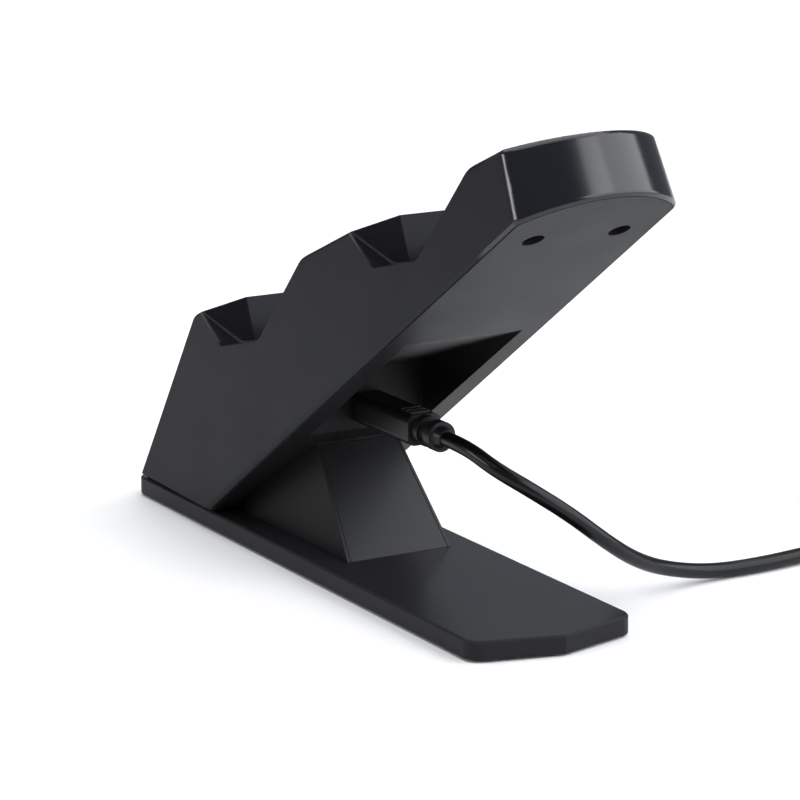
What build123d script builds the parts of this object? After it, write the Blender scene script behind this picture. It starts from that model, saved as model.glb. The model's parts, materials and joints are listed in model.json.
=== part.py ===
"""Charging dock for two game controllers: an inclined body with two pockets, on a leg and a flat base.

Millimetres, +Z up. The dock's length lies along Y: -Y is the low front lip and +Y is the high bowed end.
"""
import os
from math import atan2, cos, degrees, hypot, pi, radians, sin, tan

from build123d import *

# Base
BASE_WIDTH = 50.6
BASE_FRONT = -109.2
BASE_REAR = 87.2
BASE_CHEVRON = 6.4
BASE_HEIGHT = 5.2
BASE_CORNER = 5.0
BASE_EDGE = 0.5
DECK_TOP = 2.0
DECK_SKIRT = 1.8
PAN_THICKNESS = 1.6
BALLAST_WIDTH = 16.0
BALLAST_THICKNESS = 1.5
BALLAST_MARGIN = 30.0
FOOT_STAND = 0.8
FOOT_SINK = 0.8
FOOT_DIAMETER = 9.0
FOOT_INSET_X = 8.5
FOOT_INSET_Y = 15.0

# Body
TOP_WIDTH = 45.9
SIDE_DRAFT = 4.25
BODY_FRONT = -105.7
BODY_FOOT = 45.4
FRONT_HEIGHT = 56.6
FRONT_SLOPE = 60.2
TOP_SLOPE = 23.7
TOP_LENGTH = 196.1
UNDER_SLOPE = 34.3
END_SLOPE = 33.0
END_BOW = 10.4
END_CORNER = 3.0
WALL = 2.2
LIP_ROUND = 4.0
SHADOW_GAP = 1.4
SHADOW_INSET = 1.2
FOOT_FLANGE = 3.0
TOP_ROUND = 1.6
END_ROUND = 1.4
CREST_ROUND = 9.0

# Pockets, measured along the top from the front lip and down from it
POCKET_START = 2.1
POCKET_PITCH = 97.1
POCKET_LENGTH = 69.9
POCKET_FLOOR_START = 11.3
POCKET_FLOOR_END = 35.8
POCKET_FRONT_DEPTH = 12.7
POCKET_REAR_DEPTH = 16.5
POCKET_ROUND = 5.0
TONGUE_LENGTH = 15.8
TONGUE_WIDTH = 29.4
TONGUE_BAND = 1.2
TONGUE_FOOT = 0.5

# Charging connectors
PLUG_ALONG = 25.3
PLUG_WIDTH = 6.9
PLUG_THICKNESS = 1.9
PLUG_REACH = 6.0
PLUG_METAL = 0.3
BLOCK_WIDTH = 9.6
BLOCK_LENGTH = 5.0
BLOCK_STAND = 1.6
FLANGE_WIDTH = 13.0
FLANGE_LENGTH = 8.6
FLANGE_THICKNESS = 1.5
PLUG_BOARD_WIDTH = 30.0
PLUG_BOARD_LENGTH = 10.0
PLUG_POST_SPREAD = 11.0

# Rear cover
COVER_THICKNESS = 2.0
COVER_START = 1.5
COVER_LIP = 0.9
COVER_SCREW_INSET = 23.8
COVER_SCREW_SPREAD = 13.0
CUP_HOLE = 6.0
CUP_DEPTH = 5.0
RECESS_WIDTH = 36.4
RECESS_TOP_ALONG = 123.5
RECESS_WALL_Y = -12.3
RECESS_HEIGHT = 17.5

# Boards
BOARD_THICKNESS = 1.6
JACK_Z = 45.2
JACK_WIDTH = 7.8
JACK_HEIGHT = 2.9
JACK_DEPTH = 6.0
MAIN_BOARD_WIDTH = 30.0
MAIN_BOARD_LENGTH = 34.0
MAIN_BOARD_INSET = 4.5

# Leg
LEG_WIDTH = 33.6
LEG_SIDE_DRAFT = 7.4
LEG_REAR = 6.6
LEG_REAR_SLOPE = 130.6
LEG_FRONT = -55.4
LEG_WALL = 2.0
LEG_LIP = 0.9
LEG_SHOULDER = 1.4
PANEL_THICKNESS = 1.8
LEG_BOSS_FRONT = -35.9
LEG_BOSS_HEIGHT = 9.0
BODY_BOSS_FRONT = -85.9
BODY_BOSS_HEIGHT = 10.0
BODY_BOSS_INSET = 4.0

# Fasteners
SCREW_DIAMETER = 2.6
SCREW_HEAD = 4.6
SCREW_HEAD_HEIGHT = 1.4
SCREW_LENGTH = 7.0
SHORT_SCREW = 2.4
BOARD_SCREW = 5.0
BOSS_DIAMETER = 6.4

# Clearances
FIT = 0.15
SCREW_FIT = 0.06
TOUCH = 0.001

# Cable
CORD_DIAMETER = 4.4
BEND_SHARE = 0.45
CABLE_PLUG_WIDTH = 10.4
CABLE_PLUG_HEIGHT = 8.6
CABLE_PLUG_LENGTH = 31.0
CABLE_PLUG_GAP = 1.4
CABLE_PLUG_ROUND = 2.2
CABLE_PLUG_INSERT = 4.4
GRIP_RIDGES = 3
GRIP_PITCH = 2.6
GRIP_WIDTH = 1.3
GRIP_HEIGHT = 0.6
COLLAR_DIAMETER = 8.6
NECK_DIAMETER = 6.6
COLLAR_LENGTH = 3.0
NECK_LENGTH = 3.6
TAIL_LENGTH = 2.5
CORD_ROUTE = [
    (0.0, 32.2, 45.2),
    (0.0, 43.1, 45.2),
    (-2.6, 53.1, 41.2),
    (-9.4, 60.1, 36.2),
    (-19.6, 63.9, 28.9),
    (-30.7, 64.6, 20.0),
    (-42.3, 61.5, 12.3),
    (-55.5, 56.8, 6.4),
    (-72.8, 54.7, 2.4),
    (-90.2, 55.2, 2.3),
    (-107.6, 53.1, 2.4),
    (-126.0, 50.9, 2.6),
    (-149.0, 49.7, 2.9),
    (-171.0, 49.7, 2.9),
]
FAR_ROUTE = [
    (-171.0, 49.7, 7.3),
    (-185.0, 49.7, 7.3),
    (-198.0, 46.5, 7.3),
    (-206.6, 37.5, 6.0),
    (-209.5, 25.7, 4.2),
    (-209.5, 13.7, 4.2),
]
COIL_MEAN_DIAMETER = 48.4
COIL_TURNS_WIDE = 3
COIL_TURNS_HIGH = 2
COIL_LIFT = 0.7
COIL_LANE_ROOM = 1.2
TIE_WIDTH = 4.0
TIE_THICKNESS = 0.5
FAR_PLUG_WIDTH = 15.0
FAR_PLUG_HEIGHT = 7.6
FAR_PLUG_LENGTH = 26.0
FAR_SHELL_WIDTH = 12.0
FAR_SHELL_HEIGHT = 4.5
FAR_SHELL_LENGTH = 18.8
FAR_SHELL_METAL = 0.4
FAR_TAIL_LENGTH = 9.0

# Values worked out from those above
REACH = 60.0
DECK_Z = FOOT_STAND + BASE_HEIGHT
HALF = TOP_WIDTH / 2
LEG_HALF = LEG_WIDTH / 2
PLINTH_HALF = BASE_WIDTH / 2 - SHADOW_INSET


def step(point, angle, length):
    """A side-view point moved along a slope."""
    return (point[0] + length * cos(radians(angle)), point[1] + length * sin(radians(angle)))


def crossing(p, p_angle, q, q_angle):
    """Where two side-view lines meet."""
    a, b = radians(p_angle), radians(q_angle)
    length = ((q[0] - p[0]) * sin(b) - (q[1] - p[1]) * cos(b)) / (cos(a) * sin(b) - sin(a) * cos(b))
    return step(p, p_angle, length)


def tilted(point, angle):
    """A plane across the side view: its x runs along the slope and its z is world +X."""
    along = (0, cos(radians(angle)), sin(radians(angle)))
    return Plane((0, point[0], point[1]), x_dir=along, z_dir=(1, 0, 0))


def facing(point, angle, side=1):
    """A plane that lies on the slope: x runs up the slope and z points out of it, up (1) or down (-1)."""
    rise, run = sin(radians(angle)), cos(radians(angle))
    return Plane((0, point[0], point[1]), x_dir=(0, run, rise), z_dir=(0, -side * rise, side * run))


def polygon(points):
    return make_face(Polyline(*points, close=True))


def prism(points, half):
    """A side-view outline carried across the width."""
    return extrude(Plane.YZ * polygon(points), amount=half, both=True)


def rod(plane, diameter, low, high):
    """A cylinder along a plane's z, from low to high."""
    return plane * Pos(0, 0, (low + high) / 2) * Cylinder(diameter / 2, high - low)


def slab(plane, length, width, low, high):
    """A block along a plane's z, from low to high."""
    return plane * Pos(0, 0, (low + high) / 2) * Box(length, width, high - low)


def screw(plane, length):
    """A screw whose head sits on the plane, with its shank going down below it."""
    return rod(plane, SCREW_HEAD, 0, SCREW_HEAD_HEIGHT) + rod(plane, SCREW_DIAMETER, -length, 0)


def screw_hole(plane, depth):
    return rod(plane, SCREW_DIAMETER + 2 * SCREW_FIT, -depth, SCREW_HEAD_HEIGHT)


# Side-view points and the planes on the top and the underside
toe = (BODY_FRONT, DECK_Z)
heel = (BODY_FRONT + BODY_FOOT, DECK_Z)
lip = step(toe, FRONT_SLOPE, FRONT_HEIGHT / sin(radians(FRONT_SLOPE)))
tip = step(lip, TOP_SLOPE, TOP_LENGTH)
top_section = tilted(lip, TOP_SLOPE)
top_plane = facing(lip, TOP_SLOPE)
under_plane = facing(heel, UNDER_SLOPE, -1)
end_plane = facing(tip, END_SLOPE)
under_end = crossing(heel, UNDER_SLOPE, tip, END_SLOPE + 90)
under_length = hypot(under_end[0] - heel[0], under_end[1] - heel[1])


def depth_at(point):
    """How far a side-view point lies below the top's plane."""
    return (point[0] - lip[0]) * sin(radians(TOP_SLOPE)) - (point[1] - lip[1]) * cos(radians(TOP_SLOPE))


def half_at(point):
    """The body's half-width at a side-view point: its sides spread with depth."""
    return HALF + depth_at(point) * tan(radians(SIDE_DRAFT))


def side_walls(inset):
    """A long block between the two drafted side walls, moved in by inset."""
    depth = depth_at(heel) + WALL
    slide = tan(radians(SIDE_DRAFT)) * depth
    half = HALF - inset / cos(radians(SIDE_DRAFT))
    along = (0, cos(radians(TOP_SLOPE)), sin(radians(TOP_SLOPE)))
    across = Plane((0, lip[0], lip[1]), x_dir=(1, 0, 0), z_dir=along)
    face = polygon([(-half, 0), (half, 0), (half + slide, depth), (-half - slide, depth)])
    return extrude(across * face, amount=TOP_LENGTH + REACH, both=True)


def end_trim(inset):
    """Everything in front of the bowed end, and between the side walls, moved in by inset."""
    bow_radius = (HALF**2 + END_BOW**2) / (2 * END_BOW)
    radius = bow_radius - inset
    back = -TOP_LENGTH - REACH
    arc = ThreePointArc((-bow_radius, -radius), (-inset, 0), (-bow_radius, radius))
    rest = Polyline((-bow_radius, radius), (back, radius), (back, -radius), (-bow_radius, -radius))
    bowed = extrude(end_plane * make_face(arc + rest), amount=TOP_LENGTH, both=True)
    solid = bowed & side_walls(inset)
    corners = solid.faces().filter_by(GeomType.CYLINDER)[0].edges().sort_by(Axis.X)
    return fillet([corners[0], corners[-1]], max(END_CORNER - inset, WALL / 4))


def body_profile():
    """The body in the side view, before its pockets are cut and its end is trimmed."""
    top_far = step(tip, TOP_SLOPE, REACH)
    under_far = crossing(heel, UNDER_SLOPE, top_far, 90)
    face = polygon([toe, lip, top_far, under_far, heel])
    return fillet(face.vertices().sort_by_distance((lip[0], lip[1], 0))[:1], LIP_ROUND)


def body_solid():
    """The space that the body's pieces keep within."""
    return extrude(Plane.YZ * body_profile(), amount=REACH, both=True) & end_trim(0)


def pocket_face(start):
    """One pocket's outline in the side view, along the top and down from it."""
    corners = [
        (start, 0),
        (start + POCKET_FLOOR_START, -POCKET_FRONT_DEPTH),
        (start + POCKET_FLOOR_END, -POCKET_REAR_DEPTH),
        (start + POCKET_LENGTH, 0),
        (start + POCKET_LENGTH, POCKET_REAR_DEPTH),
        (start, POCKET_REAR_DEPTH),
    ]
    face = polygon(corners)
    return fillet(face.vertices().sort_by(Axis.Y)[:2], POCKET_ROUND)


def tongue_face(start):
    """The plan of the tongue at a pocket's front."""
    near = HALF - TONGUE_BAND
    far = TONGUE_WIDTH / 2
    end = start + TONGUE_LENGTH
    return polygon([(start, -near), (start, near), (end, far), (end, -far)])


def floor_plane(start):
    """The plane on a pocket's floor where its connector stands."""
    fall = POCKET_REAR_DEPTH - POCKET_FRONT_DEPTH
    floor_slope = -degrees(atan2(fall, POCKET_FLOOR_END - POCKET_FLOOR_START))
    floor_start = step(lip, TOP_SLOPE, start + POCKET_FLOOR_START)
    floor_start = step(floor_start, TOP_SLOPE - 90, POCKET_FRONT_DEPTH)
    slope = TOP_SLOPE + floor_slope
    return facing(step(floor_start, slope, PLUG_ALONG - POCKET_FLOOR_START), slope)


pocket_starts = {"lower": POCKET_START, "upper": POCKET_START + POCKET_PITCH}
board_top = -WALL - FLANGE_THICKNESS


def deck_boss(x, y, height):
    """A boss that stands on the deck, with the hole for its screw from below."""
    seat = Plane((x, y, DECK_Z))
    bore = rod(seat, SCREW_DIAMETER + 2 * SCREW_FIT, -DECK_TOP, height - WALL)
    return rod(seat, BOSS_DIAMETER, 0, height), bore


body_boss_x = half_at((BODY_BOSS_FRONT, DECK_Z)) - WALL + FIT - BODY_BOSS_INSET
leg_boss_x = LEG_HALF - LEG_WALL - BOSS_DIAMETER / 2 + LEG_WALL / 4
body_screw_places = [(side * body_boss_x, BODY_BOSS_FRONT) for side in (-1, 1)]
leg_screw_places = [(side * leg_boss_x, LEG_BOSS_FRONT) for side in (-1, 1)]
cover_screw_planes = [
    under_plane * Pos(under_length - COVER_SCREW_INSET, side * COVER_SCREW_SPREAD, 0)
    for side in (-1, 1)
]


def cavity():
    """The hollow of the upper shell, open along the underside and on the base."""
    front_low = crossing(step(toe, FRONT_SLOPE - 90, WALL), FRONT_SLOPE, toe, 0)
    lip_low = step(lip, TOP_SLOPE - 90, WALL)
    lip_inner = crossing(front_low, FRONT_SLOPE, lip_low, TOP_SLOPE)
    top_far = step(step(tip, TOP_SLOPE, REACH), TOP_SLOPE - 90, WALL)
    under_far = crossing(heel, UNDER_SLOPE, top_far, 90)
    hollow = prism([front_low, lip_inner, top_far, under_far, heel], REACH) & end_trim(WALL)
    for start in pocket_starts.values():
        grown = offset(pocket_face(start), amount=WALL, kind=Kind.ARC)
        hollow -= extrude(top_section * grown, amount=REACH, both=True)
    for start in pocket_starts.values():
        inner = offset(tongue_face(start), amount=-WALL, kind=Kind.INTERSECTION)
        depth = POCKET_REAR_DEPTH + WALL
        hollow += extrude(top_plane * Pos(0, 0, -depth) * inner, amount=depth - WALL)
    flange = foot_layer(toe[0], REACH, FOOT_FLANGE) - foot_layer(toe[0], PLINTH_HALF - WALL, FOOT_FLANGE)
    return hollow - flange


def foot_layer(front, half, height):
    """A layer on the deck, from front back past the heel."""
    back = heel[0] + REACH
    return prism([(front, DECK_Z), (back, DECK_Z), (back, DECK_Z + height), (front, DECK_Z + height)], half)


def shadow_gap():
    """The space round the body's foot, where its walls end just above the deck."""
    plinth = foot_layer(toe[0] + SHADOW_INSET, PLINTH_HALF, SHADOW_GAP)
    return foot_layer(toe[0] - REACH, REACH, SHADOW_GAP) - plinth


def rounded_block():
    """The space below the top and in front of the end, with the edges round both of them rounded."""
    low_front = (BODY_FRONT - REACH, DECK_Z)
    top_front = crossing(low_front, 90, lip, TOP_SLOPE)
    top_far = step(tip, TOP_SLOPE, REACH)
    under_far = crossing(heel, UNDER_SLOPE, top_far, 90)
    block = prism([low_front, top_front, top_far, under_far, heel], REACH) & end_trim(0)
    top_edges = block.faces().filter_by(top_plane)[0].edges().sort_by(Axis.Y)[1:]
    block = fillet(top_edges, TOP_ROUND)
    end_edges = block.faces().filter_by(under_plane)[0].edges().filter_by(GeomType.LINE, reverse=True)
    return fillet(end_edges, END_ROUND)


def notched_body():
    """The body with its two pockets cut across it."""
    section = body_profile()
    for start in pocket_starts.values():
        section -= Pos(lip[0], lip[1]) * Rot(0, 0, TOP_SLOPE) * pocket_face(start)
    for start in pocket_starts.values():
        crest = step(lip, TOP_SLOPE, start + POCKET_LENGTH)
        section = fillet(section.vertices().sort_by_distance((crest[0], crest[1], 0))[:1], CREST_ROUND)
    return extrude(Plane.YZ * section, amount=REACH, both=True) & rounded_block()


def cover_plate(inset, start):
    """A plate along the underside from start, in from the body's outline by inset."""
    low = step(heel, UNDER_SLOPE, start)
    high = step(heel, UNDER_SLOPE, under_length + REACH)
    inward = UNDER_SLOPE + 90
    inner = [step(high, inward, COVER_THICKNESS), step(low, inward, COVER_THICKNESS)]
    plate = prism([low, high] + inner, REACH)
    return plate & end_trim(inset)


def tongue_feet(solid):
    """The edges where the tongues stand on the pockets' floors."""
    outlines = [tongue_face(start).face().outer_wire() for start in pocket_starts.values()]
    feet = []
    for edge in solid.edges():
        x, y, z = top_plane.to_local_coords(edge.center())
        near = min(outline.distance_to((x, y, 0)) for outline in outlines)
        if near < TOUCH and z < POCKET_ROUND / 2 - POCKET_FRONT_DEPTH:
            feet.append(edge)
    return feet


def upper_shell():
    solid = notched_body()
    for start in pocket_starts.values():
        solid += extrude(top_plane * tongue_face(start), amount=-POCKET_REAR_DEPTH)
    solid = fillet(tongue_feet(solid), TONGUE_FOOT)
    solid -= cavity()
    solid -= shadow_gap()
    outside = body_solid()
    solid -= cover_plate(COVER_LIP, COVER_START - FIT)
    seat = CUP_DEPTH + WALL
    for place in cover_screw_planes:
        solid += rod(place, BOSS_DIAMETER, -seat - REACH, -seat) & outside
        solid -= rod(place, SCREW_DIAMETER + 2 * SCREW_FIT, -seat - SCREW_LENGTH, -seat)
    for x, y in body_screw_places:
        boss, hole = deck_boss(x, y, BODY_BOSS_HEIGHT)
        solid += boss & outside
        solid -= hole
    for start in pocket_starts.values():
        floor = floor_plane(start)
        for side in (-1, 1):
            post = floor * Pos(0, side * PLUG_POST_SPREAD, 0)
            solid += rod(post, BOSS_DIAMETER, board_top, -WALL)
            solid -= rod(post, SCREW_DIAMETER + 2 * SCREW_FIT, board_top, -WALL / 2)
        solid -= slab(floor, BLOCK_LENGTH + 2 * FIT, BLOCK_WIDTH + 2 * FIT, -2 * WALL, WALL)
    return solid


recess_wall_low = crossing(heel, UNDER_SLOPE, (RECESS_WALL_Y, 0), 90)
recess_edge = step(heel, UNDER_SLOPE, RECESS_TOP_ALONG)
recess_corner = (RECESS_WALL_Y, recess_wall_low[1] + RECESS_HEIGHT)


def recess_face():
    """The cable recess in the side view, reaching out past the underside."""
    outside = REACH / 4
    low = (RECESS_WALL_Y, recess_wall_low[1] - outside)
    far = step(recess_edge, UNDER_SLOPE - 90, outside)
    return polygon([low, recess_corner, recess_edge, far])


board_seat = JACK_Z - JACK_HEIGHT / 2 - BOARD_THICKNESS
main_board_rear = RECESS_WALL_Y - COVER_THICKNESS - FIT
main_board_front = main_board_rear - MAIN_BOARD_LENGTH
main_board_places = [
    (side * (MAIN_BOARD_WIDTH / 2 - MAIN_BOARD_INSET), y)
    for side in (-1, 1)
    for y in (main_board_rear - MAIN_BOARD_INSET - JACK_DEPTH, main_board_front + MAIN_BOARD_INSET)
]


def rear_cover():
    tub_face = offset(recess_face(), amount=COVER_THICKNESS, kind=Kind.INTERSECTION)
    backs = extrude(Plane.YZ * tub_face, amount=RECESS_WIDTH / 2 + COVER_THICKNESS, both=True)
    for place in cover_screw_planes:
        backs += rod(place, CUP_HOLE + 2 * WALL, -CUP_DEPTH - WALL, 0)
    for x, y in main_board_places:
        backs += rod(Plane((x, y, board_seat)), BOSS_DIAMETER, -REACH, 0)
    solid = cover_plate(COVER_LIP + FIT, COVER_START) + (backs & body_solid() & end_trim(WALL + FIT))
    solid -= extrude(Plane.YZ * recess_face(), amount=RECESS_WIDTH / 2, both=True)
    for place in cover_screw_planes:
        solid -= rod(place, CUP_HOLE, -CUP_DEPTH, 1)
        solid -= rod(place, SCREW_DIAMETER + 2 * SCREW_FIT, -CUP_DEPTH - WALL, 1)
    for x, y in main_board_places:
        solid -= screw_hole(Plane((x, y, board_seat)), BOARD_SCREW - BOARD_THICKNESS)
    window = Plane((0, RECESS_WALL_Y, JACK_Z), x_dir=(1, 0, 0), z_dir=(0, 1, 0))
    width, height = PLUG_WIDTH + 4 * FIT, PLUG_THICKNESS + 4 * FIT
    solid -= slab(window, width, height, -2 * COVER_THICKNESS, COVER_THICKNESS)
    return solid


def base_outline(inset):
    """The base's plan: straight sides and a shallow point at each end."""
    half = BASE_WIDTH / 2 - inset
    front, rear = BASE_FRONT + inset, BASE_REAR - inset
    corners = [
        (half, front),
        (half, rear),
        (0, rear + BASE_CHEVRON),
        (-half, rear),
        (-half, front),
        (0, front - BASE_CHEVRON),
    ]
    face = polygon(corners)
    sides = [v for v in face.vertices() if abs(v.X) > half / 2]
    return fillet(sides, BASE_CORNER - min(inset, BASE_CORNER / 2))


foot_places = [
    (side * (BASE_WIDTH / 2 - FOOT_INSET_X), y)
    for side in (-1, 1)
    for y in (BASE_FRONT + FOOT_INSET_Y, BASE_REAR - FOOT_INSET_Y)
]
pan_inset = DECK_SKIRT + FIT
pan_top = FOOT_STAND + PAN_THICKNESS
pan_screw_places = [(x, y - 2 * FOOT_DIAMETER * (1 if y > 0 else -1)) for x, y in foot_places]


def base_deck():
    solid = extrude(Pos(0, 0, FOOT_STAND) * base_outline(0), amount=BASE_HEIGHT)
    solid = chamfer(solid.faces().sort_by(Axis.Z)[-1].edges(), BASE_EDGE)
    solid -= extrude(Pos(0, 0, FOOT_STAND) * base_outline(DECK_SKIRT), amount=BASE_HEIGHT - DECK_TOP)
    for x, y in pan_screw_places:
        solid += rod(Plane((x, y, 0)), BOSS_DIAMETER, pan_top, DECK_Z - DECK_TOP)
        solid -= rod(Plane((x, y, 0)), SCREW_DIAMETER + 2 * SCREW_FIT, pan_top, pan_top + SHORT_SCREW)
    for x, y in body_screw_places + leg_screw_places:
        solid -= rod(Plane((x, y, DECK_Z)), SCREW_DIAMETER + 2 * SCREW_FIT, -DECK_TOP, 0)
    return solid


def base_pan():
    solid = extrude(Pos(0, 0, FOOT_STAND) * base_outline(pan_inset), amount=PAN_THICKNESS)
    for x, y in foot_places:
        solid -= rod(Plane((x, y, FOOT_STAND)), FOOT_DIAMETER + 2 * FIT, 0, FOOT_SINK)
    for x, y in pan_screw_places:
        place = Plane((x, y, FOOT_STAND))
        solid -= rod(place, SCREW_DIAMETER + 2 * SCREW_FIT, 0, PAN_THICKNESS)
        solid -= rod(place, SCREW_HEAD + 2 * FIT, 0, PAN_THICKNESS / 2)
    return solid


def ballast_plate():
    length = BASE_REAR - BASE_FRONT - 2 * BALLAST_MARGIN
    middle = Plane((0, (BASE_REAR + BASE_FRONT) / 2, pan_top))
    return slab(middle, BALLAST_WIDTH, length, 0, BALLAST_THICKNESS)


def leg_sides(inset):
    """A wide block between the leg's two tapered sides, moved in by inset."""
    low, high = DECK_Z - REACH, DECK_Z + REACH
    slide = tan(radians(LEG_SIDE_DRAFT)) * REACH
    half = LEG_HALF - inset
    face = polygon([(half + slide, low), (half - slide, high), (slide - half, high), (-half - slide, low)])
    return extrude(Plane.XZ * face, amount=TOP_LENGTH, both=True)


leg_foot = (LEG_REAR, DECK_Z)


def leg_block(rear_inset, top_inset):
    """The leg's wedge in the side view, with its back and its top moved in."""
    foot = crossing(step(leg_foot, LEG_REAR_SLOPE + 90, rear_inset), LEG_REAR_SLOPE, leg_foot, 0)
    roof = step(heel, UNDER_SLOPE - 90, top_inset)
    peak = crossing(foot, LEG_REAR_SLOPE, roof, UNDER_SLOPE)
    front = crossing((LEG_FRONT + top_inset, 0), 90, roof, UNDER_SLOPE)
    return prism([(front[0], DECK_Z), foot, peak, front], TOP_LENGTH)


def support_leg():
    solid = leg_block(0, 0) & leg_sides(0)
    solid -= leg_block(PANEL_THICKNESS, LEG_WALL) & leg_sides(LEG_WALL + LEG_SHOULDER)
    opening = leg_block(-REACH, LEG_LIP) - leg_block(PANEL_THICKNESS, -REACH)
    solid -= opening & leg_sides(LEG_LIP)
    for x, y in leg_screw_places:
        boss, hole = deck_boss(x, y, LEG_BOSS_HEIGHT)
        solid += boss & leg_block(0, 0) & leg_sides(LEG_WALL / 2)
        solid -= hole
    return solid


def leg_back_panel():
    panel = leg_block(0, LEG_LIP + FIT) - leg_block(PANEL_THICKNESS, -REACH)
    return panel & leg_sides(LEG_LIP + FIT)


def plug_block(start):
    floor = floor_plane(start)
    solid = slab(floor, BLOCK_LENGTH, BLOCK_WIDTH, -WALL, BLOCK_STAND)
    return solid + slab(floor, FLANGE_LENGTH, FLANGE_WIDTH, board_top, -WALL)


def metal_sleeve(plane, width, thickness, metal, low, high):
    solid = slab(plane, thickness, width, low, high)
    return solid - slab(plane, thickness - 2 * metal, width - 2 * metal, low, high)


def plug_shell(start):
    end = BLOCK_STAND + PLUG_REACH
    return metal_sleeve(floor_plane(start), PLUG_WIDTH, PLUG_THICKNESS, PLUG_METAL, BLOCK_STAND, end)


def plug_board(start):
    floor = floor_plane(start)
    solid = slab(floor, PLUG_BOARD_LENGTH, PLUG_BOARD_WIDTH, board_top - BOARD_THICKNESS, board_top)
    for side in (-1, 1):
        post = floor * Pos(0, side * PLUG_POST_SPREAD, 0)
        solid -= rod(post, SCREW_DIAMETER + 2 * SCREW_FIT, board_top - BOARD_THICKNESS, board_top)
    return solid


def plug_board_screws():
    screws = []
    for start in pocket_starts.values():
        for side in (-1, 1):
            post = floor_plane(start) * Pos(0, side * PLUG_POST_SPREAD, board_top - BOARD_THICKNESS)
            screws.append(screw(post * Rot(180, 0, 0), BOARD_THICKNESS + FLANGE_THICKNESS))
    return screws


def main_board():
    middle = Plane((0, main_board_rear - MAIN_BOARD_LENGTH / 2, board_seat))
    solid = slab(middle, MAIN_BOARD_WIDTH, MAIN_BOARD_LENGTH, 0, BOARD_THICKNESS)
    for x, y in main_board_places:
        solid -= rod(Plane((x, y, board_seat)), SCREW_DIAMETER + 2 * SCREW_FIT, 0, BOARD_THICKNESS)
    return solid


jack_mouth = Plane((0, RECESS_WALL_Y - COVER_THICKNESS, JACK_Z), x_dir=(0, 0, 1), z_dir=(0, 1, 0))


def input_jack():
    solid = slab(jack_mouth, JACK_HEIGHT, JACK_WIDTH, -JACK_DEPTH, 0)
    hole_height, hole_width = PLUG_THICKNESS + 2 * FIT, PLUG_WIDTH + 2 * FIT
    return solid - slab(jack_mouth, hole_height, hole_width, -JACK_DEPTH + PLUG_METAL, 0)


def jack_tongue():
    width, thickness = PLUG_WIDTH - 4 * PLUG_METAL, PLUG_THICKNESS - 4 * PLUG_METAL
    return slab(jack_mouth, thickness, width, -JACK_DEPTH + PLUG_METAL, -PLUG_METAL)


def cover_screws():
    return [screw(place * Pos(0, 0, -CUP_DEPTH), SCREW_LENGTH) for place in cover_screw_planes]


def deck_screws():
    seat = DECK_Z - DECK_TOP
    places = body_screw_places + leg_screw_places
    return [screw(Plane((x, y, seat)) * Rot(180, 0, 0), SCREW_LENGTH) for x, y in places]


def pan_screws():
    seat = FOOT_STAND + PAN_THICKNESS / 2
    return [screw_flush(Plane((x, y, seat)) * Rot(180, 0, 0)) for x, y in pan_screw_places]


def screw_flush(plane):
    """A short screw whose flat head lies within the pan."""
    return rod(plane, SCREW_HEAD, 0, PAN_THICKNESS / 2) + rod(plane, SCREW_DIAMETER, -SHORT_SCREW, 0)


def main_board_screws():
    seat = board_seat + BOARD_THICKNESS
    return [screw(Plane((x, y, seat)), BOARD_SCREW - WALL / 4) for x, y in main_board_places]


cable_axis = Plane((0, RECESS_WALL_Y, JACK_Z), x_dir=(0, 0, 1), z_dir=(0, 1, 0))
plug_body_end = CABLE_PLUG_GAP + CABLE_PLUG_LENGTH
relief_end = plug_body_end + 2 * COLLAR_LENGTH + NECK_LENGTH + TAIL_LENGTH


def cable_plug_body():
    solid = slab(cable_axis, CABLE_PLUG_HEIGHT, CABLE_PLUG_WIDTH, CABLE_PLUG_GAP, plug_body_end)
    solid = fillet(solid.edges().filter_by(Axis.Y), CABLE_PLUG_ROUND)
    for i in range(GRIP_RIDGES):
        along = plug_body_end - GRIP_PITCH * (i + 1)
        place = cable_axis * Pos(CABLE_PLUG_HEIGHT / 2, 0, along)
        ridge_width = CABLE_PLUG_WIDTH - 2 * CABLE_PLUG_ROUND
        solid += place * Box(2 * GRIP_HEIGHT, ridge_width, GRIP_WIDTH)
    return solid


def cable_plug_shell():
    low = -COVER_THICKNESS - CABLE_PLUG_INSERT
    return metal_sleeve(cable_axis, PLUG_WIDTH, PLUG_THICKNESS, PLUG_METAL, low, CABLE_PLUG_GAP)


def cable_strain_relief():
    """Two collars with a neck between them, and a tail down to the cord."""
    first = plug_body_end + COLLAR_LENGTH
    second = first + NECK_LENGTH
    solid = rod(cable_axis, COLLAR_DIAMETER, plug_body_end, first)
    solid += rod(cable_axis, NECK_DIAMETER, first, second)
    solid += rod(cable_axis, COLLAR_DIAMETER, second, second + COLLAR_LENGTH)
    tail = cable_axis * Pos(0, 0, relief_end - TAIL_LENGTH / 2)
    return solid + tail * Cone(NECK_DIAMETER / 2, CORD_DIAMETER / 2 + FIT, TAIL_LENGTH)


def route_radii(points):
    """Each bend's radius, as large as its two runs allow."""
    radii = []
    for a, b, c in zip(points, points[1:], points[2:]):
        u, v = Vector(*b) - Vector(*a), Vector(*c) - Vector(*b)
        half_turn = radians(u.get_angle(v)) / 2
        radii.append(BEND_SHARE * min(u.length, v.length) / tan(half_turn))
    return radii


coil_mean = COIL_MEAN_DIAMETER / 2
coil_spread = CORD_DIAMETER * COIL_TURNS_WIDE / 2
coil_height = CORD_DIAMETER * COIL_TURNS_HIGH
coil_entry = CORD_ROUTE[-1]
coil_middle = (coil_entry[0], coil_entry[1] - coil_mean - coil_spread + CORD_DIAMETER / 2)


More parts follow.
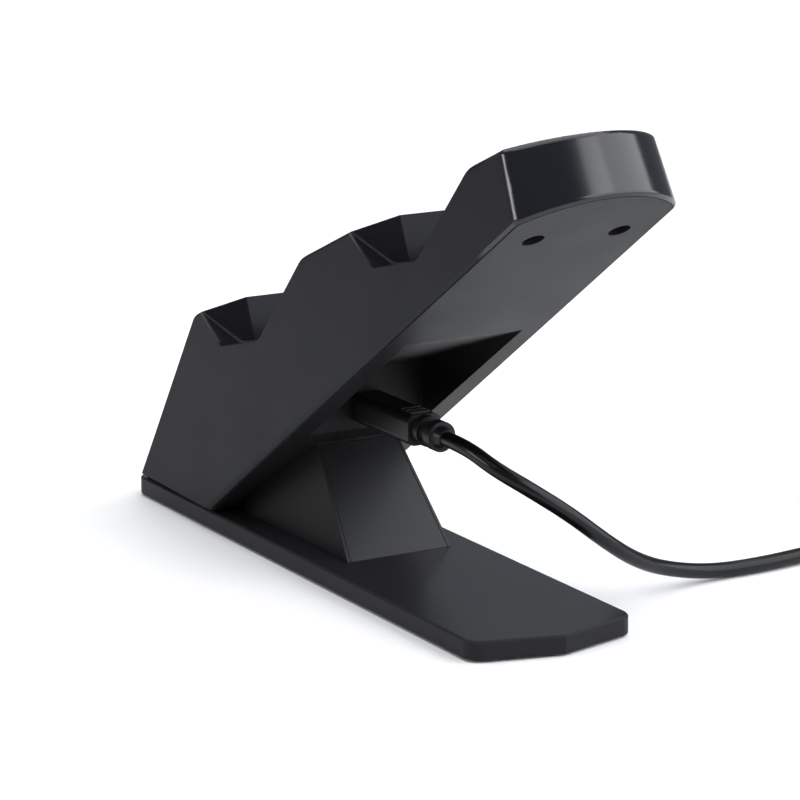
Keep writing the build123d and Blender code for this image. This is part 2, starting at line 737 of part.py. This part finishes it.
def cord_tube(points):
    """A tube along straight runs joined by tangent arcs."""
    radii = route_radii(points)
    path = FilletPolyline(*points, radius=radii)
    section = Plane(path @ 0, z_dir=path % 0) * Circle(CORD_DIAMETER / 2)
    tube = sweep(section, path=path)
    expected = pi * CORD_DIAMETER**2 / 4 * path.length
    print("cord radii", [round(r, 1) for r in radii], "length", round(path.length, 1))
    print("cord volume over section times length", round(tube.volume / expected, 4))
    return tube


def cable_coil():
    """The wound rest of the cable: the lead comes in on the lower layer, the far lead leaves the upper."""
    place = Plane((coil_middle[0], coil_middle[1], COIL_LIFT))
    outer, inner = coil_mean + coil_spread, coil_mean - coil_spread
    ring = rod(place, 2 * outer, 0, coil_height) - rod(place, 2 * inner, 0, coil_height)
    layer = coil_height / COIL_TURNS_HIGH
    lane = Box(outer, 2 * (CORD_DIAMETER + COIL_LANE_ROOM), layer)
    lane_middle = outer / 2 - FIT
    ring -= place * Pos(lane_middle, outer, layer / 2) * lane
    return ring - place * Pos(-lane_middle, outer, coil_height - layer / 2) * lane


def cable_tie():
    """A band round the coil's turns."""
    place = Plane((coil_middle[0], coil_middle[1] - coil_mean, COIL_LIFT + coil_height / 2))
    across, height = 2 * (coil_spread + FIT), coil_height + 2 * FIT
    band = Box(TIE_WIDTH, across + 2 * TIE_THICKNESS, height + 2 * TIE_THICKNESS)
    return place * (band - Box(TIE_WIDTH, across, height))


far_axis = Plane(FAR_ROUTE[-1], x_dir=(0, 0, 1), z_dir=(0, -1, 0))


def far_plug_body():
    tail = far_axis * Pos(0, 0, FAR_TAIL_LENGTH / 2)
    tail_end = FAR_PLUG_HEIGHT / 2 - FIT
    end = FAR_TAIL_LENGTH + FAR_PLUG_LENGTH
    body = slab(far_axis, FAR_PLUG_HEIGHT, FAR_PLUG_WIDTH, FAR_TAIL_LENGTH, end)
    body = fillet(body.edges().filter_by(Axis.Y), CABLE_PLUG_ROUND)
    return body + tail * Cone(CORD_DIAMETER / 2 + FIT, tail_end, FAR_TAIL_LENGTH)


def far_plug_shell():
    low = FAR_TAIL_LENGTH + FAR_PLUG_LENGTH
    end = low + FAR_SHELL_LENGTH
    return metal_sleeve(far_axis, FAR_SHELL_WIDTH, FAR_SHELL_HEIGHT, FAR_SHELL_METAL, low, end)


nodes = {
    "upper_shell": upper_shell(),
    "rear_cover": rear_cover(),
    "support_leg": support_leg(),
    "leg_back_panel": leg_back_panel(),
    "base_deck": base_deck(),
    "base_pan": base_pan(),
    "ballast_plate": ballast_plate(),
    "main_board": main_board(),
    "input_jack": input_jack(),
    "jack_tongue": jack_tongue(),
    "cover_screws": cover_screws(),
    "deck_screws": deck_screws(),
    "pan_screws": pan_screws(),
    "main_board_screws": main_board_screws(),
    "plug_board_screws": plug_board_screws(),
    "cable_plug_body": cable_plug_body(),
    "cable_plug_shell": cable_plug_shell(),
    "cable_strain_relief": cable_strain_relief(),
    "cable_lead": cord_tube(CORD_ROUTE),
    "cable_coil": cable_coil(),
    "cable_tie": cable_tie(),
    "cable_far_lead": cord_tube(FAR_ROUTE),
    "far_plug_body": far_plug_body(),
    "far_plug_shell": far_plug_shell(),
}
for name, start in pocket_starts.items():
    nodes[name + "_plug_block"] = plug_block(start)
    nodes[name + "_plug_shell"] = plug_shell(start)
    nodes[name + "_plug_board"] = plug_board(start)
for number, (x, y) in enumerate(foot_places, 1):
    nodes["foot_" + str(number)] = rod(Plane((x, y, 0)), FOOT_DIAMETER, 0, FOOT_STAND + FOOT_SINK)

os.makedirs("parts", exist_ok=True)
for name, solid in nodes.items():
    if isinstance(solid, list):
        solid = Compound(children=solid)
    export_step(solid, "parts/" + name + ".step")
    box = solid.bounding_box()
    print(name, len(solid.solids()), "solids", [round(v, 2) for v in (*box.min, *box.max)])
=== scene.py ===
import json
from math import cos, pi, radians, sin

import bpy
from mathutils import Matrix, Vector


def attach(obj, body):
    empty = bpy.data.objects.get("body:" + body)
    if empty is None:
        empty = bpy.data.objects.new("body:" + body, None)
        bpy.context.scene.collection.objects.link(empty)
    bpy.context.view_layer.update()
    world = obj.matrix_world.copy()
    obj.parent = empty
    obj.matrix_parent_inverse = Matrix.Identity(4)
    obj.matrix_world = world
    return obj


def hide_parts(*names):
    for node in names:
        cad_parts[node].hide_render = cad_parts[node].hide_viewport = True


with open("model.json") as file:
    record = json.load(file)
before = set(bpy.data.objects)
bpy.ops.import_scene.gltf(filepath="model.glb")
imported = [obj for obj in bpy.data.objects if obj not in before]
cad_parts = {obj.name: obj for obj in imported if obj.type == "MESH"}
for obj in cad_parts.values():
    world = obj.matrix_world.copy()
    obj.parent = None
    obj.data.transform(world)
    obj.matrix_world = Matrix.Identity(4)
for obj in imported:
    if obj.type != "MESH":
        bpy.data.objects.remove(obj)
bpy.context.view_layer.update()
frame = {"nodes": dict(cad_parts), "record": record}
nodes = frame["nodes"]
scene = bpy.context.scene

# Camera: fitted to corners read from the photograph, with its place in metres
CAMERA_PLACE = (0.5076, 0.8848, 0.2996)
CAMERA_AZIMUTH = radians(149.968)
CAMERA_ELEVATION = radians(13.785)
SENSOR_MM = 36.0
LENS_MM = 168.81

# Cable: repeated from the CAD source, in metres
CORD_DIAMETER = 0.0044
CORD_ROUTE = [
    (0.0, 0.0322, 0.0452),
    (0.0, 0.0431, 0.0452),
    (-0.0026, 0.0531, 0.0412),
    (-0.0094, 0.0601, 0.0362),
    (-0.0196, 0.0639, 0.0289),
    (-0.0307, 0.0646, 0.0200),
    (-0.0423, 0.0615, 0.0123),
    (-0.0555, 0.0568, 0.0064),
    (-0.0728, 0.0547, 0.0024),
    (-0.0902, 0.0552, 0.0023),
    (-0.1076, 0.0531, 0.0024),
    (-0.1260, 0.0509, 0.0026),
    (-0.1490, 0.0497, 0.0029),
    (-0.1710, 0.0497, 0.0029),
]
FAR_ROUTE = [
    (-0.1710, 0.0497, 0.0073),
    (-0.1850, 0.0497, 0.0073),
    (-0.1980, 0.0465, 0.0073),
    (-0.2066, 0.0375, 0.0060),
    (-0.2095, 0.0257, 0.0042),
    (-0.2095, 0.0137, 0.0042),
]
COIL_CENTRE = (-0.1710, 0.0211)
COIL_OUTER_LANE = 0.0286
COIL_LOW, COIL_HIGH = 0.0029, 0.0073
COIL_TURNS = 2
POINTS_PER_TURN = 24
POINTS_TO_CLIMB = 4

# Cable: how finely its curve is drawn
CURVE_ORDER = 3
STEPS_PER_POINT = 8
ROUND_STEPS = 6

# Looks that the plastics share, with lengths in metres
EDGE_RADIUS = 0.0003
EDGE_SAMPLES = 6
# How much lighter the edges are painted: partly rubbed wear, partly a painted highlight
EDGE_WEAR_AND_HIGHLIGHT = 0.5
DRIFT_SCALE = 18.0
GRAIN_SCALE, GRAIN_DETAIL, GRAIN_DEPTH = 2600.0, 3.0, 0.00002
GLOSS_SCALE, GLOSS_DETAIL, GLOSS_DRIFT = 60.0, 4.0, 0.12
# Cosines: where an edge counts as turned or as flat, and a face as looking along an axis
EDGE_TURNED, EDGE_FLAT = 0.7, 0.97
FACING_FROM, FACING_FULL = 0.95, 0.99
# Where the polished end begins along Y, and the blend on either side
END_FROM, END_BLEND = 0.09, 0.002

# Looks that the metals share, with the depth in metres
LINE_SCALE, LINE_DEPTH = 900.0, 0.00001
LINE_STRETCH = (1.0, 0.08, 1.0)
LINE_SHADE = 0.8
LINE_GLOSS = 0.2

# Studio, in metres
FLOOR_HALF = 6.0
ROOM_COLOUR = (0.82, 0.89, 1.0)
ROOM_STRENGTH = 0.22
WHITE, COOL_WHITE = (1.0, 1.0, 1.0), (0.94, 0.96, 1.0)


def place_camera():
    """The camera at the photograph's place and angle."""
    data = bpy.data.cameras.new("camera")
    data.sensor_width = SENSOR_MM
    data.lens = LENS_MM
    camera = bpy.data.objects.new("camera", data)
    level = cos(CAMERA_ELEVATION)
    back = Vector((sin(CAMERA_AZIMUTH) * level, -cos(CAMERA_AZIMUTH) * level, sin(CAMERA_ELEVATION)))
    right = Vector((cos(CAMERA_AZIMUTH), sin(CAMERA_AZIMUTH), 0))
    up = back.cross(right)
    camera.matrix_world = Matrix.Translation(CAMERA_PLACE) @ Matrix((right, up, back)).transposed().to_4x4()
    scene.collection.objects.link(camera)
    scene.camera = camera


def coil_points():
    """Turns inward on the coil's lower layer, a climb, and turns outward on its upper layer."""
    points = []
    count = COIL_TURNS * POINTS_PER_TURN
    for i in range(1, count + 1):
        points.append((i, COIL_OUTER_LANE - CORD_DIAMETER * i / POINTS_PER_TURN, COIL_LOW))
    inner_lane = COIL_OUTER_LANE - COIL_TURNS * CORD_DIAMETER
    for i in range(1, count):
        rise = min(i / POINTS_TO_CLIMB, 1)
        height = COIL_LOW + (COIL_HIGH - COIL_LOW) * rise
        points.append((i, inner_lane + CORD_DIAMETER * i / POINTS_PER_TURN, height))
    placed = []
    for i, radius, height in points:
        turn = pi / 2 + 2 * pi * i / POINTS_PER_TURN
        placed.append((COIL_CENTRE[0] + radius * cos(turn), COIL_CENTRE[1] + radius * sin(turn), height))
    return placed


def cable():
    """The whole cord as one smooth curve: its lead, its coil and the lead to the far plug."""
    curve = bpy.data.curves.new("cable", "CURVE")
    curve.dimensions = "3D"
    # A depth of 1 leaves the thickness to the points' own radius
    curve.bevel_depth = 1.0
    curve.bevel_resolution = ROUND_STEPS
    curve.resolution_u = STEPS_PER_POINT
    curve.use_fill_caps = True
    spline = curve.splines.new("NURBS")
    points = CORD_ROUTE + coil_points() + FAR_ROUTE
    spline.points.add(len(points) - 1)
    for point, place in zip(spline.points, points):
        point.co = (*place, 1)
        point.radius = CORD_DIAMETER / 2
    spline.order_u = CURVE_ORDER
    spline.use_endpoint_u = True
    piece = bpy.data.objects.new("cable", curve)
    scene.collection.objects.link(piece)
    return piece


class Shader:
    """A material's node tree, with short calls to add to it."""

    def __init__(self, name):
        self.material = bpy.data.materials.new(name)
        self.material.use_nodes = True
        self.nodes = self.material.node_tree.nodes
        self.links = self.material.node_tree.links
        self.surface = self.nodes["Principled BSDF"]
        coordinates = self.nodes.new("ShaderNodeTexCoord").outputs
        self.place, self.normal = coordinates["Object"], coordinates["Normal"]

    def link(self, source, target):
        self.links.new(source, target)

    def feed(self, socket, value):
        """Gives a socket a number, or the output of another node."""
        if isinstance(value, (int, float)):
            socket.default_value = value
        else:
            self.link(value, socket)

    def give(self, name, value):
        """Gives one of the surface's own sockets a number, or the output of another node."""
        self.feed(self.surface.inputs[name], value)

    def noise(self, scale, detail=2.0, stretch=None):
        """Noise through the piece, with its own scale along each axis if stretch is given."""
        node = self.nodes.new("ShaderNodeTexNoise")
        node.inputs["Scale"].default_value = scale
        node.inputs["Detail"].default_value = detail
        place = self.place
        if stretch:
            mapping = self.nodes.new("ShaderNodeMapping")
            mapping.inputs["Scale"].default_value = stretch
            self.link(place, mapping.inputs["Vector"])
            place = mapping.outputs["Vector"]
        self.link(place, node.inputs["Vector"])
        return node.outputs["Fac"]

    def ramp(self, fac, low, high, from_low=0.0, from_high=1.0):
        """fac carried from one range to another, and held at its ends."""
        node = self.nodes.new("ShaderNodeMapRange")
        node.inputs["From Min"].default_value = from_low
        node.inputs["From Max"].default_value = from_high
        self.feed(node.inputs["To Min"], low)
        self.feed(node.inputs["To Max"], high)
        self.link(fac, node.inputs["Value"])
        return node.outputs["Result"]

    def math(self, operation, *values):
        """One calculation with numbers or the outputs of other nodes."""
        node = self.nodes.new("ShaderNodeMath")
        node.operation = operation
        for socket, value in zip(node.inputs, values):
            self.feed(socket, value)
        return node.outputs["Value"]

    def shades(self, fac, dark, light):
        """A colour between two, by fac."""
        node = self.nodes.new("ShaderNodeMix")
        node.data_type = "RGBA"
        colours = [socket for socket in node.inputs if socket.type == "RGBA"]
        colours[0].default_value = (*dark, 1)
        colours[1].default_value = (*light, 1)
        self.link(fac, node.inputs["Factor"])
        return [socket for socket in node.outputs if socket.type == "RGBA"][0]

    def component(self, vector, axis):
        """One of a vector's three numbers."""
        node = self.nodes.new("ShaderNodeSeparateXYZ")
        self.link(vector, node.inputs["Vector"])
        return node.outputs[axis]

    def edge(self):
        """The normal of softly rounded edges, and a mask that is 1 along them and 0 on the faces."""
        rounded = self.nodes.new("ShaderNodeBevel")
        rounded.samples = EDGE_SAMPLES
        rounded.inputs["Radius"].default_value = EDGE_RADIUS
        flat = self.nodes.new("ShaderNodeNewGeometry")
        turn = self.nodes.new("ShaderNodeVectorMath")
        turn.operation = "DOT_PRODUCT"
        self.link(rounded.outputs["Normal"], turn.inputs[0])
        self.link(flat.outputs["Normal"], turn.inputs[1])
        mask = self.ramp(turn.outputs["Value"], 1.0, 0.0, EDGE_TURNED, EDGE_FLAT)
        return rounded.outputs["Normal"], mask

    def facing(self, axis):
        """1 on faces that look along an axis, either way, and 0 on the others."""
        along = self.math("ABSOLUTE", self.component(self.normal, axis))
        return self.ramp(along, 0.0, 1.0, FACING_FROM, FACING_FULL)

    def before_end(self):
        """1 where the piece lies before the dock's high end, and 0 past END_FROM."""
        along = self.component(self.place, "Y")
        return self.ramp(along, 1.0, 0.0, END_FROM - END_BLEND, END_FROM + END_BLEND)

    def bump(self, height, depth, normal=None):
        """Roughens the surface's normal by a height from 0 to 1, on top of another normal if it is given."""
        node = self.nodes.new("ShaderNodeBump")
        node.inputs["Strength"].default_value = 1.0
        node.inputs["Distance"].default_value = depth
        self.link(height, node.inputs["Height"])
        if normal:
            self.link(normal, node.inputs["Normal"])
        self.give("Normal", node.outputs["Normal"])


def moulded(name, dark, light, rough, specular, grain=GRAIN_SCALE, depth=GRAIN_DEPTH,
            axis=None, other_rough=None, other_specular=None, end_specular=None):
    """Moulded plastic: a fine eroded grain, uneven gloss, a slight drift of colour, and edges painted
    lighter, partly as rubbed wear and partly as a painted highlight.

    With an axis, only the faces that look along it have this grain and gloss. The others are smooth,
    with their own roughness and specular level, and another specular level past END_FROM if it is given.
    """
    shader = Shader(name)
    normal, rub_and_highlight = shader.edge()
    # Base colour: a random drift of tone, plus edges painted lighter, partly as wear and partly as a painted
    # highlight
    tone_drift_and_highlight = shader.math("MULTIPLY_ADD", rub_and_highlight, EDGE_WEAR_AND_HIGHLIGHT, shader.noise(DRIFT_SCALE))
    shader.give("Base Color", shader.shades(tone_drift_and_highlight, dark, light))
    fine = shader.noise(grain, GRAIN_DETAIL)
    uneven = shader.ramp(shader.noise(GLOSS_SCALE, GLOSS_DETAIL), 1 - GLOSS_DRIFT, 1 + GLOSS_DRIFT)
    shader.give("Specular IOR Level", specular)
    if axis:
        along = shader.facing(axis)
        fine = shader.math("MULTIPLY", fine, along)
        rough = shader.ramp(along, other_rough, rough)
        if end_specular:
            other_specular = shader.ramp(shader.before_end(), end_specular, other_specular)
        shader.give("Specular IOR Level", shader.ramp(along, other_specular, specular))
    shader.give("Roughness", shader.math("MULTIPLY", uneven, rough))
    shader.bump(fine, depth, normal)
    return shader.material


def metal(name, colour, rough):
    """Plated metal with fine drawn lines."""
    shader = Shader(name)
    lines = shader.noise(LINE_SCALE, stretch=LINE_STRETCH)
    dark = tuple(LINE_SHADE * c for c in colour)
    shader.give("Base Color", shader.shades(lines, dark, colour))
    shader.give("Roughness", shader.ramp(lines, rough * (1 - LINE_GLOSS), rough * (1 + LINE_GLOSS)))
    shader.bump(lines, LINE_DEPTH)
    shader.give("Metallic", 1.0)
    return shader.material


def grey(value, blue=1.1):
    """A near-black with a little blue in it."""
    return value, value, value * blue


PLASTICS = {
    "shell_black": dict(
        dark=grey(0.005, 1.4), light=grey(0.0075, 1.4), rough=0.42, specular=0.075,
        axis="X", other_rough=0.16, other_specular=0.12, end_specular=0.5),
    "cover_black": dict(dark=grey(0.008), light=grey(0.011), rough=0.45, specular=0.14),
    "leg_black": dict(
        dark=grey(0.006), light=grey(0.009), rough=0.42, specular=0.07,
        axis="X", other_rough=0.42, other_specular=0.30),
    "base_black": dict(
        dark=grey(0.013), light=grey(0.017), rough=0.22, specular=0.75,
        axis="Z", other_rough=0.45, other_specular=0.10),
    "foot_rubber": dict(
        dark=grey(0.012), light=grey(0.018), rough=0.80, specular=0.30, grain=1800.0, depth=0.00004),
    "board_green": dict(
        dark=(0.01, 0.07, 0.03), light=(0.014, 0.09, 0.04), rough=0.35, specular=0.40, grain=1500.0),
    "connector_black": dict(dark=grey(0.010), light=grey(0.014), rough=0.40, specular=0.40),
    "cable_moulding": dict(dark=grey(0.005), light=grey(0.008), rough=0.36, specular=0.25),
    "cable_jacket": dict(
        dark=grey(0.002), light=grey(0.004), rough=0.25, specular=0.25, grain=1500.0, depth=0.00001),
}
METALS = {
    "contact_metal": dict(colour=(0.62, 0.62, 0.63), rough=0.25),
    "screw_steel": dict(colour=(0.25, 0.25, 0.26), rough=0.35),
    "ballast_steel": dict(colour=(0.5, 0.5, 0.5), rough=0.40),
}
FLOOR_PAINT = dict(
    dark=(0.86, 0.86, 0.86), light=(0.88, 0.88, 0.88), rough=0.70, specular=0.20, grain=300.0, depth=0.00001)


def lay_floor():
    """A wide pale floor."""
    corners = [(FLOOR_HALF * x, FLOOR_HALF * y, 0) for x, y in ((-1, -1), (1, -1), (1, 1), (-1, 1))]
    mesh = bpy.data.meshes.new("floor")
    mesh.from_pydata(corners, [], [(0, 1, 2, 3)])
    floor = bpy.data.objects.new("floor", mesh)
    scene.collection.objects.link(floor)
    mesh.materials.append(moulded("floor_paint", **FLOOR_PAINT))


def dim_room():
    """A dim, slightly blue light from all sides."""
    world = bpy.data.worlds.new("room")
    world.use_nodes = True
    background = world.node_tree.nodes["Background"]
    background.inputs["Color"].default_value = (*ROOM_COLOUR, 1)
    background.inputs["Strength"].default_value = ROOM_STRENGTH
    scene.world = world


def soft_light(name, place, target, size, power, colour=WHITE):
    """A rectangular softbox that faces a point, in metres and watts."""
    data = bpy.data.lights.new(name, "AREA")
    data.shape = "RECTANGLE"
    data.size, data.size_y = size
    data.energy = power
    data.color = colour
    lamp = bpy.data.objects.new(name, data)
    lamp.location = place
    lamp.rotation_euler = (Vector(target) - Vector(place)).to_track_quat("-Z", "Y").to_euler()
    scene.collection.objects.link(lamp)


place_camera()

# The cord, and the pieces that go with it
cord = cable()
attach(cord, "root")
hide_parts("cable_lead", "cable_coil", "cable_far_lead")

# A material on every piece, by its slot
finishes = {slot: moulded(slot, **look) for slot, look in PLASTICS.items()}
finishes.update({slot: metal(slot, **look) for slot, look in METALS.items()})
slot_of = {part["node"]: part["material_slot"] for part in frame["record"]["subparts"]}
for name, piece in nodes.items():
    piece.data.materials.clear()
    piece.data.materials.append(finishes[slot_of[name]])
cord.data.materials.append(finishes["cable_jacket"])

# Floor, room and softboxes, with left_strip for the streak on the end's near corner
lay_floor()
dim_room()
soft_light("overhead", place=(0.0, -0.7, 2.2), target=(0, -0.7, 0), size=(3.4, 3.4), power=74)
soft_light("right_box", place=(-0.84, 0.94, 0.75), target=(0, 0.1, 0.12), size=(2.4, 1.4), power=33,
           colour=COOL_WHITE)
soft_light("rear_box", place=(-0.40, 1.30, 1.32), target=(0, 0.11, 0.13), size=(1.0, 0.34), power=1.9)
soft_light("left_strip", place=(1.3, -0.28, 0.46), target=(0, 0.1, 0.13), size=(0.9, 0.25), power=6.0)
scene.view_settings.view_transform = "Standard"

bpy.context.view_layer.update()
